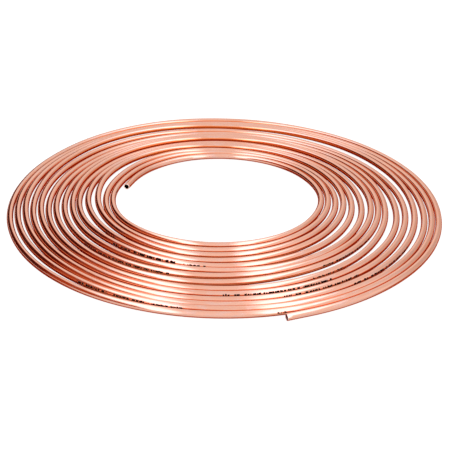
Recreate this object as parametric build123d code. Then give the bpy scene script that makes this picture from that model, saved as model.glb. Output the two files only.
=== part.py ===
from build123d import *
import math
import os

# Soft copper tube wound as one flat spiral coil, lying on the floor.
# Millimetres. The coil's axis is Z, the floor is z = 0, and the origin is the
# middle of the outline's bounding box. Angles are in degrees from +X,
# counter-clockwise seen from above; the tube runs outward clockwise.

# --- driving dimensions -------------------------------------------------
TUBE_OD = 6.35            # outside diameter, 1/4 in
TUBE_WALL = 0.762         # wall thickness, 0.030 in
EYE_X, EYE_Y = -0.3355, 3.7855   # the winding's centre
FLOOR_LIFT = 0.028        # so that the lowest turn touches z = 0
START_ANGLE = 165.0       # direction of the winding's angle zero
W_FIRST = 8.0            # winding angle of the first point of the spiral
W_LAST = 5277.0         # winding angle of the last point
INNER_STRAIGHT = 15.0     # straight stretch at the inner end
OUTER_STRAIGHT = 20.0     # straight stretch at the outer end

# Distance of the tube's centreline from the winding's centre at equal steps
# of winding angle, inner end first: sixteen points to a turn.
RADIUS = [
    104.40, 107.40, 108.61, 107.65, 105.47, 102.94, 100.96, 100.29, 99.77, 100.38, 101.10, 102.01, 103.73, 106.60, 110.04, 112.44,
    114.03, 116.53, 117.54, 115.49, 112.29, 109.60, 107.80, 107.12, 107.34, 108.44, 110.11, 111.80, 113.66, 115.44, 117.41, 119.29,
    121.68, 124.98, 125.67, 122.83, 119.07, 116.01, 114.34, 114.47, 115.63, 117.34, 119.27, 120.98, 121.92, 122.25, 123.91, 127.80,
    133.53, 136.64, 135.72, 132.00, 127.61, 124.22, 122.31, 122.43, 123.60, 126.20, 129.21, 131.41, 131.91, 131.67, 133.71, 137.68,
    141.08, 143.05, 142.04, 138.35, 134.00, 130.52, 128.96, 130.07, 133.36, 137.15, 139.78, 140.92, 140.20, 140.56, 143.66, 146.29,
    148.02, 149.45, 148.40, 144.73, 140.44, 137.76, 137.23, 139.35, 143.94, 148.31, 150.06, 149.48, 149.03, 149.41, 150.92, 152.89,
    155.65, 157.65, 157.19, 154.10, 150.23, 147.51, 146.82, 149.09, 152.07, 155.01, 156.82, 158.21, 158.99, 159.16, 159.59, 160.51,
    162.23, 164.04, 163.54, 160.43, 156.55, 153.83, 153.37, 156.14, 159.78, 163.67, 166.74, 169.36, 169.66, 168.36, 168.00, 168.61,
    169.48, 170.55, 169.87, 166.78, 162.93, 160.61, 160.44, 162.67, 167.91, 175.02, 179.52, 180.39, 178.92, 176.85, 175.91, 175.72,
    176.67, 177.41, 176.38, 173.23, 169.38, 167.40, 168.33, 172.69, 179.54, 185.10, 188.26, 188.40, 186.25, 183.58, 182.68, 184.36,
    186.25, 187.24, 185.42, 180.95, 176.10, 173.94, 175.99, 181.55, 187.79, 193.41, 196.84, 197.20, 194.89, 191.59, 190.74, 191.59,
    195.07, 198.21, 197.48, 193.92, 190.67, 189.10, 188.82, 191.31, 196.70, 202.36, 205.44, 205.03, 201.97, 198.54, 197.60, 199.72,
    202.39, 204.51, 203.85, 200.33, 197.09, 195.58, 196.13, 200.16, 206.34, 211.03, 212.98, 211.75, 208.86, 206.30, 205.75, 206.62,
    208.82, 210.83, 210.16, 206.71, 203.50, 202.10, 203.39, 207.70, 213.36, 217.72, 220.18, 219.94, 218.02, 215.72, 213.68, 213.30,
    215.29, 218.06, 218.35, 215.45, 211.71, 209.76, 210.70, 214.46, 219.98, 224.70, 228.42,
]

# How far the tube rides above the floor at the same points: a turn that is
# pressed against its neighbours climbs a little.
LIFT = [
    0.50, 0.50, 0.58, 0.32, 0.21, 0.18, 0.00, 0.17, 0.15, 0.00, 0.06, 0.22, 0.37, 0.38, 0.18, 0.00,
    0.11, 0.86, 1.23, 0.65, 0.48, 0.84, 0.85, 0.60, 0.32, 0.14, 0.01, 0.10, 0.00, 0.03, 0.00, 0.00,
    0.30, 1.21, 1.25, 0.37, 0.03, 0.03, 0.00, 0.02, 0.01, 0.04, 0.02, 0.03, 0.16, 0.78, 1.12, 1.50,
    2.29, 2.63, 2.58, 2.05, 1.62, 1.53, 0.94, 0.58, 0.33, 0.14, 0.06, 0.00, 0.04, 0.49, 0.74, 0.63,
    0.74, 1.19, 1.22, 0.89, 0.50, 0.10, 0.01, 0.00, 0.01, 0.02, 0.07, 0.01, 0.57, 1.07, 0.69, 0.17,
    0.00, 0.09, 0.00, 0.00, 0.00, 0.17, 0.17, 0.06, 0.01, 0.00, 0.01, 0.41, 0.26, 0.19, 0.03, 0.38,
    1.37, 2.39, 2.91, 2.70, 2.29, 1.81, 0.68, 0.21, 0.08, 0.01, 0.23, 0.10, 0.00, 0.05, 0.01, 0.01,
    0.26, 1.14, 1.67, 1.46, 0.94, 0.39, 0.00, 0.14, 0.22, 0.19, 0.46, 0.07, 0.12, 0.42, 0.39, 0.16,
    0.00, 0.13, 0.31, 0.26, 0.02, 0.07, 0.21, 0.25, 0.17, 0.00, 0.08, 0.12, 0.17, 0.26, 0.14, 0.00,
    0.18, 0.32, 0.26, 0.06, 0.00, 0.28, 0.22, 0.02, 0.00, 0.07, 0.00, 0.06, 0.11, 0.24, 0.43, 0.47,
    0.61, 1.04, 1.09, 0.66, 0.12, 0.01, 0.00, 0.09, 0.15, 0.01, 0.00, 0.04, 0.03, 0.33, 0.31, 0.61,
    2.04, 3.49, 3.21, 2.03, 1.67, 1.63, 0.83, 0.23, 0.03, 0.00, 0.00, 0.07, 0.19, 0.49, 0.92, 1.30,
    1.65, 1.98, 1.77, 0.98, 0.85, 0.81, 0.26, 0.00, 0.00, 0.02, 0.00, 0.16, 0.32, 0.65, 0.76, 0.80,
    0.61, 0.40, 0.35, 0.00, 0.00, 0.03, 0.00, 0.00, 0.00, 0.11, 0.01, 0.13, 0.19, 0.09, 0.00, 0.00,
    0.20, 1.03, 1.26, 0.66, 0.09, 0.00, 0.02, 0.00, 0.00, 0.18, 0.18,
]

TUBE_R = TUBE_OD / 2
BORE_R = TUBE_R - TUBE_WALL


def add(a, b, k=1.0):
    return (a[0] + k * b[0], a[1] + k * b[1], a[2] + k * b[2])


def dot(a, b):
    return a[0] * b[0] + a[1] * b[1] + a[2] * b[2]


def cross(a, b):
    return (a[1] * b[2] - a[2] * b[1], a[2] * b[0] - a[0] * b[2], a[0] * b[1] - a[1] * b[0])


def unit(a):
    s = math.sqrt(dot(a, a))
    return (a[0] / s, a[1] / s, a[2] / s)


def path_points():
    step = (W_LAST - W_FIRST) / (len(RADIUS) - 1)
    points = []
    for i, (radius, lift) in enumerate(zip(RADIUS, LIFT)):
        phi = math.radians(START_ANGLE - W_FIRST - step * i)
        points.append((EYE_X + radius * math.cos(phi), EYE_Y + radius * math.sin(phi),
                       TUBE_R + FLOOR_LIFT + lift))
    return points


def path_tangents(points):
    tangents = [None] * len(points)
    for i in range(1, len(points) - 1):
        back, ahead = add(points[i], points[i - 1], -1), add(points[i + 1], points[i], -1)
        lb, la = math.sqrt(dot(back, back)), math.sqrt(dot(ahead, ahead))
        tangents[i] = unit(add((back[0] * la / lb, back[1] * la / lb, back[2] * la / lb),
                               ahead, lb / la))
    for i, j in ((0, 1), (len(points) - 1, len(points) - 2)):
        chord = unit(add(points[max(i, j)], points[min(i, j)], -1))
        t = add((0, 0, 0), chord, 2 * dot(chord, tangents[j]))
        t = add(t, tangents[j], -1)
        tangents[i] = unit((t[0], t[1], 0.0))
    return tangents


def path_arcs(points, tangents):
    """Two arcs between each pair of points, meeting smoothly: (from, heading, to)."""
    arcs = []
    for p, t, q, u in zip(points, tangents, points[1:], tangents[1:]):
        v = add(q, p, -1)
        tu = add(t, u)
        den = 2 * (1 - dot(t, u))
        vs, vv = dot(v, tu), dot(v, v)
        if abs(den) < 1e-12:
            d = vv / (4 * dot(v, u))
        else:
            d = (-vs + math.sqrt(vs * vs + den * vv)) / den
        a, b = add(p, t, d), add(q, u, -d)
        m = ((a[0] + b[0]) / 2, (a[1] + b[1]) / 2, (a[2] + b[2]) / 2)
        arcs.append((p, t, m))
        arcs.append((m, unit(add(b, a, -1)), q))
    return arcs


def ring(origin, x_dir, z_dir):
    plane = Plane(origin=origin, x_dir=x_dir, z_dir=z_dir)
    return plane * (Circle(TUBE_R) - Circle(BORE_R))


def tube():
    points = path_points()
    tangents = path_tangents(points)
    arcs = path_arcs(points, tangents)
    faces = []
    x_dir = (0.0, 0.0, 1.0)

    # straight stretch at the inner end
    start = add(points[0], tangents[0], -INNER_STRAIGHT)
    section = ring(start, x_dir, tangents[0]).face()
    straight = Solid.extrude(section, Vector(*tangents[0]) * INNER_STRAIGHT)
    faces += [f for f in straight.faces() if f.geom_type == GeomType.CYLINDER]
    first = section

    # the turns: the tube's ring section turned about each arc's own axis
    for p, t, m in arcs:
        v = add(m, p, -1)
        axis = unit(cross(t, v))
        side = cross(axis, t)
        k = dot(v, v) / (2 * dot(v, side))
        centre = add(p, side, k)
        angle = 2 * math.acos(min(1.0, dot(t, v) / math.sqrt(dot(v, v))))
        x_dir = unit(add(x_dir, t, -dot(x_dir, t)))
        section = ring(p, x_dir, t).face()
        seg = Solid.revolve(section, math.degrees(angle), Axis(centre, axis))
        faces += [f for f in seg.faces() if f.geom_type == GeomType.TORUS]
        # carry the section's zero direction round with the arc
        c, s = math.cos(angle), math.sin(angle)
        w = cross(axis, x_dir)
        h = dot(axis, x_dir) * (1 - c)
        x_dir = (x_dir[0] * c + w[0] * s + axis[0] * h,
                 x_dir[1] * c + w[1] * s + axis[1] * h,
                 x_dir[2] * c + w[2] * s + axis[2] * h)

    # straight stretch at the outer end
    heading = tangents[-1]
    x_dir = unit(add(x_dir, heading, -dot(x_dir, heading)))
    section = ring(points[-1], x_dir, heading).face()
    straight = Solid.extrude(section, Vector(*heading) * OUTER_STRAIGHT)
    faces += [f for f in straight.faces() if f.geom_type == GeomType.CYLINDER]
    last = ring(add(points[-1], heading, OUTER_STRAIGHT), x_dir, heading).face()

    return Solid(Shell(faces + [first, last]))


coil = tube()
coil.label = "tube"
os.makedirs("parts", exist_ok=True)
export_step(coil, "parts/tube.step")

length = coil.volume / (math.pi * (TUBE_R ** 2 - BORE_R ** 2))
box = coil.bounding_box()
print("valid", coil.is_valid, "volume mm3", round(coil.volume, 1),
      "tube length mm", round(length, 1))
print("box", box.min, box.max)
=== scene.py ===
import bpy
import math
from mathutils import Vector, Matrix


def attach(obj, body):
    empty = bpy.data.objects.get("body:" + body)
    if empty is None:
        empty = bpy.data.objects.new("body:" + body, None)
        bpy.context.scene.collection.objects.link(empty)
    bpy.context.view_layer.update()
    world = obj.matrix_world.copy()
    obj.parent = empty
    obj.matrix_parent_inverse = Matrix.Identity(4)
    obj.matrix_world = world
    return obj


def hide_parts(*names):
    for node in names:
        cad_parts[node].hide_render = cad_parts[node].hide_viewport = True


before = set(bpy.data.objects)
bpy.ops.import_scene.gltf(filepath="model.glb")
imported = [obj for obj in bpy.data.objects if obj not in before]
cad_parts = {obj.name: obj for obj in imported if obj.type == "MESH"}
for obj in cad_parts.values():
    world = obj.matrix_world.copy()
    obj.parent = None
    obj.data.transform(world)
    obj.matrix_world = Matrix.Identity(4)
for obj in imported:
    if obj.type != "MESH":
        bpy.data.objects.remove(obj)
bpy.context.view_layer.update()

# ---------------------------------------------------------------------------
# The tube's sizes and its line, the same as the CAD's (millimetres here,
# metres in the mesh).
# ---------------------------------------------------------------------------
MM = 0.001
TUBE_R = 6.35 / 2
BORE_R = 6.35 / 2 - 0.762
EYE_X, EYE_Y, FLOOR_LIFT = -0.3355, 3.7855, 0.028
START_ANGLE, W_FIRST, W_LAST = 165.0, 8.0, 5277.0
INNER_STRAIGHT, OUTER_STRAIGHT = 15.0, 20.0

RADIUS = [
    104.40, 107.40, 108.61, 107.65, 105.47, 102.94, 100.96, 100.29, 99.77, 100.38, 101.10, 102.01, 103.73, 106.60, 110.04, 112.44,
    114.03, 116.53, 117.54, 115.49, 112.29, 109.60, 107.80, 107.12, 107.34, 108.44, 110.11, 111.80, 113.66, 115.44, 117.41, 119.29,
    121.68, 124.98, 125.67, 122.83, 119.07, 116.01, 114.34, 114.47, 115.63, 117.34, 119.27, 120.98, 121.92, 122.25, 123.91, 127.80,
    133.53, 136.64, 135.72, 132.00, 127.61, 124.22, 122.31, 122.43, 123.60, 126.20, 129.21, 131.41, 131.91, 131.67, 133.71, 137.68,
    141.08, 143.05, 142.04, 138.35, 134.00, 130.52, 128.96, 130.07, 133.36, 137.15, 139.78, 140.92, 140.20, 140.56, 143.66, 146.29,
    148.02, 149.45, 148.40, 144.73, 140.44, 137.76, 137.23, 139.35, 143.94, 148.31, 150.06, 149.48, 149.03, 149.41, 150.92, 152.89,
    155.65, 157.65, 157.19, 154.10, 150.23, 147.51, 146.82, 149.09, 152.07, 155.01, 156.82, 158.21, 158.99, 159.16, 159.59, 160.51,
    162.23, 164.04, 163.54, 160.43, 156.55, 153.83, 153.37, 156.14, 159.78, 163.67, 166.74, 169.36, 169.66, 168.36, 168.00, 168.61,
    169.48, 170.55, 169.87, 166.78, 162.93, 160.61, 160.44, 162.67, 167.91, 175.02, 179.52, 180.39, 178.92, 176.85, 175.91, 175.72,
    176.67, 177.41, 176.38, 173.23, 169.38, 167.40, 168.33, 172.69, 179.54, 185.10, 188.26, 188.40, 186.25, 183.58, 182.68, 184.36,
    186.25, 187.24, 185.42, 180.95, 176.10, 173.94, 175.99, 181.55, 187.79, 193.41, 196.84, 197.20, 194.89, 191.59, 190.74, 191.59,
    195.07, 198.21, 197.48, 193.92, 190.67, 189.10, 188.82, 191.31, 196.70, 202.36, 205.44, 205.03, 201.97, 198.54, 197.60, 199.72,
    202.39, 204.51, 203.85, 200.33, 197.09, 195.58, 196.13, 200.16, 206.34, 211.03, 212.98, 211.75, 208.86, 206.30, 205.75, 206.62,
    208.82, 210.83, 210.16, 206.71, 203.50, 202.10, 203.39, 207.70, 213.36, 217.72, 220.18, 219.94, 218.02, 215.72, 213.68, 213.30,
    215.29, 218.06, 218.35, 215.45, 211.71, 209.76, 210.70, 214.46, 219.98, 224.70, 228.42,
]

LIFT = [
    0.50, 0.50, 0.58, 0.32, 0.21, 0.18, 0.00, 0.17, 0.15, 0.00, 0.06, 0.22, 0.37, 0.38, 0.18, 0.00,
    0.11, 0.86, 1.23, 0.65, 0.48, 0.84, 0.85, 0.60, 0.32, 0.14, 0.01, 0.10, 0.00, 0.03, 0.00, 0.00,
    0.30, 1.21, 1.25, 0.37, 0.03, 0.03, 0.00, 0.02, 0.01, 0.04, 0.02, 0.03, 0.16, 0.78, 1.12, 1.50,
    2.29, 2.63, 2.58, 2.05, 1.62, 1.53, 0.94, 0.58, 0.33, 0.14, 0.06, 0.00, 0.04, 0.49, 0.74, 0.63,
    0.74, 1.19, 1.22, 0.89, 0.50, 0.10, 0.01, 0.00, 0.01, 0.02, 0.07, 0.01, 0.57, 1.07, 0.69, 0.17,
    0.00, 0.09, 0.00, 0.00, 0.00, 0.17, 0.17, 0.06, 0.01, 0.00, 0.01, 0.41, 0.26, 0.19, 0.03, 0.38,
    1.37, 2.39, 2.91, 2.70, 2.29, 1.81, 0.68, 0.21, 0.08, 0.01, 0.23, 0.10, 0.00, 0.05, 0.01, 0.01,
    0.26, 1.14, 1.67, 1.46, 0.94, 0.39, 0.00, 0.14, 0.22, 0.19, 0.46, 0.07, 0.12, 0.42, 0.39, 0.16,
    0.00, 0.13, 0.31, 0.26, 0.02, 0.07, 0.21, 0.25, 0.17, 0.00, 0.08, 0.12, 0.17, 0.26, 0.14, 0.00,
    0.18, 0.32, 0.26, 0.06, 0.00, 0.28, 0.22, 0.02, 0.00, 0.07, 0.00, 0.06, 0.11, 0.24, 0.43, 0.47,
    0.61, 1.04, 1.09, 0.66, 0.12, 0.01, 0.00, 0.09, 0.15, 0.01, 0.00, 0.04, 0.03, 0.33, 0.31, 0.61,
    2.04, 3.49, 3.21, 2.03, 1.67, 1.63, 0.83, 0.23, 0.03, 0.00, 0.00, 0.07, 0.19, 0.49, 0.92, 1.30,
    1.65, 1.98, 1.77, 0.98, 0.85, 0.81, 0.26, 0.00, 0.00, 0.02, 0.00, 0.16, 0.32, 0.65, 0.76, 0.80,
    0.61, 0.40, 0.35, 0.00, 0.00, 0.03, 0.00, 0.00, 0.00, 0.11, 0.01, 0.13, 0.19, 0.09, 0.00, 0.00,
    0.20, 1.03, 1.26, 0.66, 0.09, 0.00, 0.02, 0.00, 0.00, 0.18, 0.18,
]


def path_points():
    step = (W_LAST - W_FIRST) / (len(RADIUS) - 1)
    out = []
    for i, (radius, lift) in enumerate(zip(RADIUS, LIFT)):
        phi = math.radians(START_ANGLE - W_FIRST - step * i)
        out.append(Vector((EYE_X + radius * math.cos(phi), EYE_Y + radius * math.sin(phi),
                           TUBE_R + FLOOR_LIFT + lift)))
    return out


def path_tangents(points):
    n = len(points)
    tangents = [None] * n
    for i in range(1, n - 1):
        back, ahead = points[i] - points[i - 1], points[i + 1] - points[i]
        lb, la = back.length, ahead.length
        tangents[i] = (back * (la / lb) + ahead * (lb / la)).normalized()
    for i, j in ((0, 1), (n - 1, n - 2)):
        chord = (points[max(i, j)] - points[min(i, j)]).normalized()
        t = chord * (2 * chord.dot(tangents[j])) - tangents[j]
        tangents[i] = Vector((t.x, t.y, 0.0)).normalized()
    return tangents


def centreline(spacing):
    """Points and headings along the tube's whole line, straight ends included."""
    points = path_points()
    tangents = path_tangents(points)
    line = []
    n = max(2, round(INNER_STRAIGHT / spacing))
    for i in range(n):
        line.append((points[0] - tangents[0] * (INNER_STRAIGHT * (n - i) / n), tangents[0].copy()))
    for p, t, q, u in zip(points, tangents, points[1:], tangents[1:]):
        v = q - p
        den = 2 * (1 - t.dot(u))
        vs = v.dot(t + u)
        if abs(den) < 1e-12:
            d = v.dot(v) / (4 * v.dot(u))
        else:
            d = (-vs + math.sqrt(vs * vs + den * v.dot(v))) / den
        a, b = p + t * d, q - u * d
        m, tm = (a + b) / 2, (b - a).normalized()
        for p0, t0, p1 in ((p, t, m), (m, tm, q)):
            w = p1 - p0
            axis = t0.cross(w).normalized()
            side = axis.cross(t0)
            k = w.dot(w) / (2 * w.dot(side))
            angle = 2 * math.acos(min(1.0, t0.dot(w) / w.length))
            steps = max(1, math.ceil(k * angle / spacing))
            for i in range(steps):
                f = angle * i / steps
                line.append((p0 + t0 * (k * math.sin(f)) + side * (k * (1 - math.cos(f))),
                             t0 * math.cos(f) + side * math.sin(f)))
    n = max(2, round(OUTER_STRAIGHT / spacing))
    for i in range(n + 1):
        line.append((points[-1] + tangents[-1] * (OUTER_STRAIGHT * i / n), tangents[-1].copy()))
    return line


# ---------------------------------------------------------------------------
# The tube: outside skin, cut faces with a softly deburred rim, and the bore
# for as far as it can be seen into.
# ---------------------------------------------------------------------------
SIDES = 26
SPACING = 5.6
SKIN_R = TUBE_R - 0.04
BORE_DEPTH = 60.0


def make_tube():
    line = centreline(SPACING)
    verts, faces, uvs = [], [], []
    lengths = [0.0]
    for (p, _), (q, _) in zip(line, line[1:]):
        lengths.append(lengths[-1] + (q - p).length)

    def ring(p, t, radius):
        up = (Vector((0, 0, 1)) - t * t.z).normalized()
        side = t.cross(up)
        start = len(verts)
        for j in range(SIDES):
            a = 2 * math.pi * j / SIDES
            verts.append((p + (up * math.cos(a) + side * math.sin(a)) * radius) * MM)
        return start

    def skin(a, b, ua, ub, flip=False):
        for j in range(SIDES):
            k = (j + 1) % SIDES
            va, vb = j / SIDES, (j + 1) / SIDES
            if flip:
                faces.append((a + j, b + j, b + k, a + k))
                uvs.append(((ua, va), (ub, va), (ub, vb), (ua, vb)))
            else:
                faces.append((a + j, a + k, b + k, b + j))
                uvs.append(((ua, va), (ua, vb), (ub, vb), (ub, va)))

    # profile of one cut end, from the outside skin to the bore: (inset, radius)
    rim = [(0.22, SKIN_R), (0.06, TUBE_R - 0.07), (0.0, TUBE_R - 0.2),
           (0.0, BORE_R + 0.16), (0.08, BORE_R + 0.03), (0.25, BORE_R)]

    n = len(line)
    # inner end of the coil
    p, t = line[0]
    rings = [(ring(p + t * d, t, r), d) for d, r in reversed(rim)]
    s = BORE_DEPTH
    deep = []
    i = 1
    while lengths[i] < BORE_DEPTH:
        deep.append(i)
        i += 1
    bore = [(ring(line[i][0], line[i][1], BORE_R), lengths[i]) for i in reversed(deep)]
    bore_start = bore[0][0]
    chain = bore + rings
    for (a, ua), (b, ub) in zip(chain, chain[1:]):
        skin(a, b, ua * MM, ub * MM)
    cap = [bore_start + j for j in range(SIDES)]
    faces.append(tuple(cap))
    uvs.append(tuple((0.0, 0.0) for _ in cap))
    last, lu = rings[-1]
    # outside skin
    for i in range(1, n - 1):
        if lengths[i] < 0.8 or lengths[-1] - lengths[i] < 0.8:
            continue
        r = ring(line[i][0], line[i][1], SKIN_R)
        skin(last, r, lu * MM, lengths[i] * MM)
        last, lu = r, lengths[i]
    # outer end of the coil
    p, t = line[-1]
    total = lengths[-1]
    for d, r in rim:
        b = ring(p - t * d, t, r)
        skin(last, b, lu * MM, (total - d) * MM)
        last, lu = b, total - d
    i = n - 2
    while total - lengths[i] < BORE_DEPTH:
        b = ring(line[i][0], line[i][1], BORE_R)
        skin(last, b, lu * MM, lengths[i] * MM)
        last, lu = b, lengths[i]
        i -= 1
    cap = [last + j for j in range(SIDES)]
    faces.append(tuple(reversed(cap)))
    uvs.append(tuple((0.0, 0.0) for _ in cap))

    mesh = bpy.data.meshes.new("copper_tube")
    mesh.from_pydata([tuple(v) for v in verts], [], faces)
    uv = mesh.uv_layers.new(name="along_round")
    k = 0
    for loop_uvs in uvs:
        for u in loop_uvs:
            uv.data[k].uv = u
            k += 1
    mesh.update()
    for poly in mesh.polygons:
        poly.use_smooth = True
    obj = bpy.data.objects.new("copper_tube", mesh)
    bpy.context.scene.collection.objects.link(obj)
    return obj, total


tube, tube_length = make_tube()
print("tube length m", round(tube_length * MM, 3), "polygons", len(tube.data.polygons))


# ---------------------------------------------------------------------------
# Copper: bright drawn metal
# ---------------------------------------------------------------------------
# painted groove shade and reflection by degrees down the side: where it starts, where it is full, and the colour
# first on the outward side, then on the inward side
PAINTED_GROOVE_SHADE = (((58.0, 75.0, (0.87, 0.41, 0.21)), (80.0, 97.0, (0.42, 0.07, 0.013))),
           ((53.0, 72.0, (0.88, 0.27, 0.08)), (79.0, 97.0, (0.60, 0.11, 0.016))))
# the painted groove shade and flank reflection stay off the inner turn's inward side and the outer turn's outward
# side, which face no neighbour
FIRST_TURN, LAST_TURN = 0.66, tube_length * MM - 1.40
# plain dark dashes low on the outward side, by metres along the tube: from, to,
# and the tilt in degrees where they begin
MARKS = ((2.812, 2.829, 60.0), (3.568, 3.588, 52.0), (3.595, 3.638, 42.0), (3.641, 3.664, 50.0),
         (5.463, 5.563, 56.0), (6.258, 6.330, 58.0), (7.366, 7.402, 60.0), (8.494, 8.592, 50.0),
         (9.626, 9.702, 54.0), (10.773, 10.860, 54.0), (12.281, 12.312, 58.0), (12.316, 12.345, 54.0),
         (12.352, 12.385, 48.0), (13.5125, 13.5205, 60.0))
MARKS_END = 86.0
INK = (0.024, 0.003, 0.002)
BLOOM, BLOOM_AMOUNT = (0.76, 0.46, 0.385), 0.75
DRAW_LINE = (0.74, 0.37, 0.27)
CUT = (0.98, 0.80, 0.70)


EDGE_TINT = (1.0, 0.86, 0.77)
PAINTED_FLANK_REFLECTION = (0.86, 0.40, 0.22)     # painted reflection: a deeper specular tint low on the flanks, where turns mirror each other


def copper_material():
    mat = bpy.data.materials.new("bright_copper")
    mat.use_nodes = True
    nt = mat.node_tree
    nt.nodes.clear()
    out = nt.nodes.new("ShaderNodeOutputMaterial")
    bsdf = nt.nodes.new("ShaderNodeBsdfPrincipled")
    nt.links.new(bsdf.outputs["BSDF"], out.inputs["Surface"])
    uv = nt.nodes.new("ShaderNodeUVMap")
    uv.uv_map = "along_round"

    def feed(socket, value):
        if isinstance(value, (int, float)):
            socket.default_value = value
        else:
            nt.links.new(value, socket)

    def calc(op, a, b):
        n = nt.nodes.new("ShaderNodeMath")
        n.operation = op
        feed(n.inputs[0], a)
        feed(n.inputs[1], b)
        return n.outputs[0]

    def span(value, a, b, lo, hi):
        n = nt.nodes.new("ShaderNodeMapRange")
        n.interpolation_type = "SMOOTHSTEP"
        for name, v in (("Value", value), ("From Min", a), ("From Max", b), ("To Min", lo), ("To Max", hi)):
            feed(n.inputs[name], v)
        return n.outputs["Result"]

    def blend(amount, a, b):
        n = nt.nodes.new("ShaderNodeMixRGB")
        feed(n.inputs["Fac"], amount)
        nt.links.new(a, n.inputs["Color1"])
        n.inputs["Color2"].default_value = (*b, 1.0)
        return n.outputs["Color"]

    def noise(scale, detail):
        m = nt.nodes.new("ShaderNodeMapping")
        m.inputs["Scale"].default_value = scale
        nt.links.new(uv.outputs["UV"], m.inputs["Vector"])
        n = nt.nodes.new("ShaderNodeTexNoise")
        n.inputs["Scale"].default_value = 1.0
        n.inputs["Detail"].default_value = detail
        nt.links.new(m.outputs["Vector"], n.inputs["Vector"])
        return n.outputs["Fac"]

    def line_noise(per_metre, detail):
        n = nt.nodes.new("ShaderNodeTexNoise")
        n.noise_dimensions = "1D"
        n.inputs["Scale"].default_value = 1.0
        n.inputs["Detail"].default_value = detail
        feed(n.inputs["W"], calc("MULTIPLY", along, per_metre))
        return n.outputs["Fac"]

    # long faint draw lines and slow changes of tint along the tube
    m1 = nt.nodes.new("ShaderNodeMapping")
    m1.inputs["Scale"].default_value = (9.0, 2.0, 1.0)
    nt.links.new(uv.outputs["UV"], m1.inputs["Vector"])
    n1 = nt.nodes.new("ShaderNodeTexNoise")
    n1.inputs["Scale"].default_value = 1.0
    n1.inputs["Detail"].default_value = 4.0
    nt.links.new(m1.outputs["Vector"], n1.inputs["Vector"])
    ramp = nt.nodes.new("ShaderNodeValToRGB")
    ramp.color_ramp.elements[0].position = 0.30
    ramp.color_ramp.elements[0].color = (0.80, 0.40, 0.285, 1)
    ramp.color_ramp.elements[1].position = 0.72
    ramp.color_ramp.elements[1].color = (0.89, 0.475, 0.355, 1)
    nt.links.new(n1.outputs["Fac"], ramp.inputs["Fac"])
    # a thin uneven bloom, pinker and greyer than the bright metal
    sep = nt.nodes.new("ShaderNodeSeparateXYZ")
    nt.links.new(uv.outputs["UV"], sep.inputs[0])
    along, round_ = sep.outputs["X"], sep.outputs["Y"]
    bloom = span(noise((95.0, 5.0, 1.0), 3.0), 0.46, 0.66, 0.0, BLOOM_AMOUNT)
    colour = blend(bloom, ramp.outputs["Color"], BLOOM)
    colour = blend(span(noise((30.0, 150.0, 1.0), 2.0), 0.56, 0.74, 0.0, 0.35), colour, DRAW_LINE)
    # painted shade and painted reflection low down in the grooves where two turns face each other: deeper, redder
    # copper colour there
    tilt = calc("MULTIPLY", calc("PINGPONG", round_, 0.5), 360.0)
    outward = calc("GREATER_THAN", round_, 0.5)
    last_turn = span(along, LAST_TURN, LAST_TURN + 0.08, 0.0, 1.0)
    first_turn = span(along, FIRST_TURN - 0.08, FIRST_TURN, 1.0, 0.0)
    bare = calc("ADD", calc("MULTIPLY", outward, last_turn),
                calc("MULTIPLY", calc("SUBTRACT", 1.0, outward), first_turn))
    facing = calc("SUBTRACT", 1.0, bare)
    for tones, here in zip(PAINTED_GROOVE_SHADE, (outward, calc("SUBTRACT", 1.0, outward))):
        for first, full, tone in tones:
            amount = calc("MULTIPLY", span(tilt, first, full, 0.0, 1.0), calc("MULTIPLY", facing, here))
            colour = blend(amount, colour, tone)
    # the two cut faces: fresh, pale and matt
    cut = calc("ADD", calc("LESS_THAN", along, 0.0003), calc("GREATER_THAN", along, tube_length * MM - 0.0003))
    colour = blend(cut, colour, CUT)
    # the dashes: short strokes in groups, a little uneven in height
    wavy = calc("ADD", tilt, calc("MULTIPLY", calc("SUBTRACT", line_noise(520.0, 0.0), 0.5), 14.0))
    in_run = 0.0
    for start, end, low in MARKS:
        here = calc("MULTIPLY", calc("GREATER_THAN", along, start), calc("LESS_THAN", along, end))
        here = calc("MULTIPLY", here, span(wavy, low, low + 6.0, 0.0, 1.0))
        in_run = calc("ADD", in_run, here)
    in_run = calc("MULTIPLY", calc("MULTIPLY", in_run, outward), span(wavy, MARKS_END, MARKS_END + 6.0, 1.0, 0.0))
    strokes = calc("MULTIPLY", span(line_noise(230.0, 1.0), 0.38, 0.43, 0.0, 1.0),
                   span(line_noise(900.0, 0.0), 0.30, 0.40, 0.0, 1.0))
    ink = calc("MULTIPLY", strokes, in_run)
    nt.links.new(blend(ink, colour, INK), bsdf.inputs["Base Color"])
    nt.links.new(calc("SUBTRACT", 1.0, ink), bsdf.inputs["Metallic"])
    bsdf.inputs["Specular IOR Level"].default_value = 0.02
    # painted reflection on the flanks: the specular tint turns deeper low down where two turns face each other
    flank = calc("MULTIPLY", span(tilt, 58.0, 84.0, 0.0, 1.0), facing)
    edge = nt.nodes.new("ShaderNodeRGB")
    edge.outputs[0].default_value = (*EDGE_TINT, 1.0)
    nt.links.new(blend(flank, edge.outputs[0], PAINTED_FLANK_REFLECTION), bsdf.inputs["Specular Tint"])
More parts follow.
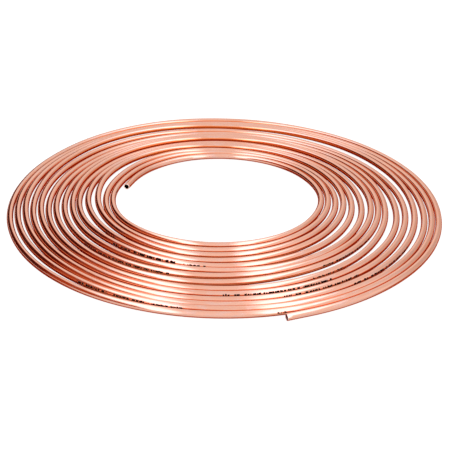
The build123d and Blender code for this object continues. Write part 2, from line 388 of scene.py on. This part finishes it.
    # roughness: soft drawn sheen
    m2 = nt.nodes.new("ShaderNodeMapping")
    m2.inputs["Scale"].default_value = (6.0, 60.0, 1.0)
    nt.links.new(uv.outputs["UV"], m2.inputs["Vector"])
    n2 = nt.nodes.new("ShaderNodeTexNoise")
    n2.inputs["Scale"].default_value = 1.0
    n2.inputs["Detail"].default_value = 3.0
    nt.links.new(m2.outputs["Vector"], n2.inputs["Vector"])
    r2 = nt.nodes.new("ShaderNodeMapRange")
    r2.inputs["From Min"].default_value = 0.3
    r2.inputs["From Max"].default_value = 0.7
    r2.inputs["To Min"].default_value = 0.075
    r2.inputs["To Max"].default_value = 0.125
    nt.links.new(n2.outputs["Fac"], r2.inputs["Value"])
    rough = calc("ADD", r2.outputs["Result"], calc("MULTIPLY", bloom, 0.10))
    rough = calc("ADD", rough, calc("ADD", calc("MULTIPLY", ink, 0.35), calc("MULTIPLY", cut, 0.25)))
    nt.links.new(rough, bsdf.inputs["Roughness"])
    bump = nt.nodes.new("ShaderNodeBump")
    bump.inputs["Strength"].default_value = 0.08
    bump.inputs["Distance"].default_value = 0.00005
    nt.links.new(n2.outputs["Fac"], bump.inputs["Height"])
    nt.links.new(bump.outputs["Normal"], bsdf.inputs["Normal"])
    return mat


tube.data.materials.append(copper_material())
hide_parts("tube")
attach(tube, "root")


# ---------------------------------------------------------------------------
# Floor, light and camera
# ---------------------------------------------------------------------------
floor_mesh = bpy.data.meshes.new("floor")
s = 6.0
floor_mesh.from_pydata([(-s, -s, 0), (s, -s, 0), (s, s, 0), (-s, s, 0)], [], [(0, 1, 2, 3)])
floor = bpy.data.objects.new("floor", floor_mesh)
bpy.context.scene.collection.objects.link(floor)
floor.location = (0, 0, -0.0002)
def pale_floor():
    """A plain pale sweep, lit evenly from within so that it stays white."""
    mat = bpy.data.materials.new("floor_white")
    mat.use_nodes = True
    b = mat.node_tree.nodes["Principled BSDF"]
    b.inputs["Base Color"].default_value = (FLOOR_DIFFUSE, FLOOR_DIFFUSE, FLOOR_DIFFUSE, 1)
    b.inputs["Roughness"].default_value = 1.0
    b.inputs["Specular IOR Level"].default_value = 0.0
    b.inputs["Emission Color"].default_value = (1, 1, 1, 1)
    b.inputs["Emission Strength"].default_value = FLOOR_GLOW
    return mat


FLOOR_DIFFUSE, FLOOR_GLOW = 0.25, 0.92
floor_mesh.materials.append(pale_floor())
floor.visible_glossy = False


# The studio, seen only in the copper: a white room over a white table, and half
# a metre up a pale ceiling with two long soft lights that spread apart towards
# the camera, a dark warm side to the left and a greyer one to the right.
LIGHT = (2.25, 2.35, 2.75)
CEILING_Z = 0.50
FRONT_GAIN = 1.08
LEFT_FRONT, LEFT_BACK = 0.43, 0.06
RIGHT_SIDE = (0.74, 0.68, 0.64)
TABLE_FRONT, TABLE_LEFT, TABLE_RIGHT, UNDER = 0.97, 0.30, 0.50, 0.50
TINT = ((0.0, (0.02, 0.001, 0.0)), (0.25, (0.23, 0.015, 0.0)), (0.47, (0.46, 0.095, 0.024)),
        (0.62, (0.62, 0.26, 0.15)), (0.76, (0.76, 0.55, 0.46)), (0.86, (0.86, 0.80, 0.77)), (1.0, (1.0, 1.0, 1.0)))


class Nodes:
    """Short names for the sums, ramps and mixes of one node tree."""

    def __init__(self, tree):
        self.tree = tree

    def new(self, kind):
        return self.tree.nodes.new(kind)

    def feed(self, socket, value):
        if isinstance(value, (int, float, tuple)):
            socket.default_value = value
        else:
            self.tree.links.new(value, socket)

    def calc(self, op, a, b=0.0):
        n = self.new("ShaderNodeMath")
        n.operation = op
        self.feed(n.inputs[0], a)
        self.feed(n.inputs[1], b)
        return n.outputs[0]

    def span(self, value, a, b, lo, hi):
        n = self.new("ShaderNodeMapRange")
        n.interpolation_type = "SMOOTHSTEP"
        for name, v in (("Value", value), ("From Min", a), ("From Max", b), ("To Min", lo), ("To Max", hi)):
            self.feed(n.inputs[name], v)
        return n.outputs["Result"]

    def blend(self, amount, a, b):
        n = self.new("ShaderNodeMixRGB")
        self.feed(n.inputs["Fac"], amount)
        for name, v in (("Color1", a), ("Color2", b)):
            self.feed(n.inputs[name], (*v, 1.0) if isinstance(v, tuple) else v)
        return n.outputs["Color"]

    def axes(self, output):
        n = self.new("ShaderNodeSeparateXYZ")
        self.feed(n.inputs[0], self.new("ShaderNodeTexCoord").outputs[output])
        return n.outputs[0], n.outputs[1], n.outputs[2]

    def tinted(self, level):
        n = self.new("ShaderNodeValToRGB")
        while len(n.color_ramp.elements) < len(TINT):
            n.color_ramp.elements.new(0.5)
        for e, (at, colour) in zip(n.color_ramp.elements, TINT):
            e.position = at
            e.color = (*colour, 1.0)
        self.feed(n.inputs["Fac"], level)
        return n.outputs["Color"]


world = bpy.data.worlds.new("studio")
bpy.context.scene.world = world
world.use_nodes = True
w = Nodes(world.node_tree)
bg = w.tree.nodes["Background"]
x, y, z = w.axes("Generated")
behind = w.span(x, -0.5, 0.5, TABLE_LEFT, TABLE_RIGHT)
table = w.span(z, -0.98, -0.70, UNDER, w.span(y, -0.35, 0.15, TABLE_FRONT, behind))
w.feed(bg.inputs["Color"], w.tinted(w.span(z, -0.16, 0.0, table, 1.0)))
bg.inputs["Strength"].default_value = 1.0
white = w.new("ShaderNodeBackground")
white.inputs["Color"].default_value = (1, 1, 1, 1)
white.inputs["Strength"].default_value = 1.0
mix = w.new("ShaderNodeMixShader")
w.feed(mix.inputs[0], w.new("ShaderNodeLightPath").outputs["Is Camera Ray"])
w.feed(mix.inputs[1], bg.outputs[0])
w.feed(mix.inputs[2], white.outputs[0])
w.feed(w.tree.nodes["World Output"].inputs["Surface"], mix.outputs[0])


def ceiling_material():
    mat = bpy.data.materials.new("ceiling_lights")
    mat.use_nodes = True
    n = Nodes(mat.node_tree)
    n.tree.nodes.clear()
    x, y, _ = n.axes("Object")
    front = n.calc("MAXIMUM", n.calc("SUBTRACT", -0.60, y), 0.0)
    ahead, behind = n.calc("MAXIMUM", n.calc("MULTIPLY", y, -1.0), 0.0), n.calc("MAXIMUM", y, 0.0)
    # the two long lights: a centre line each, and a width that grows to the front
    half = n.calc("ADD", n.calc("MULTIPLY", y, -0.06), n.calc("ADD", n.calc("MULTIPLY", front, 0.10), 0.115))
    lit = 0.0
    for at, slope, bend in ((-0.25, 0.20, -0.34), (0.19, -0.17, 0.32)):
        centre = n.calc("ADD", n.calc("MULTIPLY", y, slope), n.calc("ADD", n.calc("MULTIPLY", front, bend), at))
        off = n.calc("DIVIDE", n.calc("ABSOLUTE", n.calc("SUBTRACT", x, centre)), half)
        lit = n.calc("ADD", lit, n.span(off, 0.55, 1.30, 1.0, 0.0))
    lit = n.calc("MULTIPLY", lit, n.span(y, 0.15, 0.50, 1.0, 0.0))
    # the left side
    start = n.calc("ADD", n.calc("MULTIPLY", behind, 0.04), n.calc("ADD", n.calc("MULTIPLY", ahead, 0.32), 0.38))
    past = n.calc("SUBTRACT", n.calc("MULTIPLY", x, -1.0), start)
    left = n.span(past, 0.0, 0.18, 1.0, n.span(y, -0.05, 0.28, LEFT_FRONT, LEFT_BACK))
    # the right side
    right = n.calc("MULTIPLY", n.span(x, 0.28, 0.65, 0.0, 1.0), n.span(y, -0.25, 0.45, 0.0, 1.0))
    colour = n.blend(right, n.tinted(left), RIGHT_SIDE)
    colour = n.blend(lit, colour, LIGHT)
    glow = n.new("ShaderNodeEmission")
    n.feed(glow.inputs["Color"], colour)
    n.feed(glow.inputs["Strength"], n.span(y, -0.30, 0.15, FRONT_GAIN, 1.0))
    n.feed(n.new("ShaderNodeOutputMaterial").inputs["Surface"], glow.outputs[0])
    return mat


ceiling_mesh = bpy.data.meshes.new("ceiling")
s = 12.0
ceiling_mesh.from_pydata([(-s, -s, 0), (s, -s, 0), (s, s, 0), (-s, s, 0)], [], [(0, 3, 2, 1)])
ceiling_mesh.materials.append(ceiling_material())
ceiling = bpy.data.objects.new("ceiling", ceiling_mesh)
bpy.context.scene.collection.objects.link(ceiling)
ceiling.location = (0, 0, CEILING_Z)
for rays in ("camera", "diffuse", "shadow", "transmission", "volume_scatter"):
    setattr(ceiling, "visible_" + rays, False)

# camera: the photograph's own place and lens
D, EL, F_PX = 970.0, math.radians(25.7), 948.0
CX, CY = 222.5, 198.0
pit = math.atan2(CY - 225.0, F_PX)
af = EL - pit
yaw = math.atan2(CX - 225.0, math.hypot(F_PX, CY - 225.0))
fw = Vector((0, math.cos(af), -math.sin(af)))
up = Vector((0, math.sin(af), math.cos(af)))
rz = Matrix.Rotation(yaw, 3, "Z")
fw, up = rz @ fw, rz @ up
rt = fw.cross(up)
cam_data = bpy.data.cameras.new("camera")
cam_data.sensor_width = 36.0
cam_data.lens = F_PX / 450.0 * 36.0
cam_data.clip_start, cam_data.clip_end = 0.05, 50.0
cam = bpy.data.objects.new("camera", cam_data)
bpy.context.scene.collection.objects.link(cam)
cam.matrix_world = Matrix((
    (rt.x, up.x, -fw.x, (EYE_X) * MM),
    (rt.y, up.y, -fw.y, (EYE_Y - D * math.cos(EL)) * MM),
    (rt.z, up.z, -fw.z, (D * math.sin(EL) + TUBE_R) * MM),
    (0, 0, 0, 1)))
bpy.context.scene.camera = cam
bpy.context.scene.view_settings.view_transform = "Standard"
bpy.context.scene.view_settings.look = "None"

bpy.context.view_layer.update()
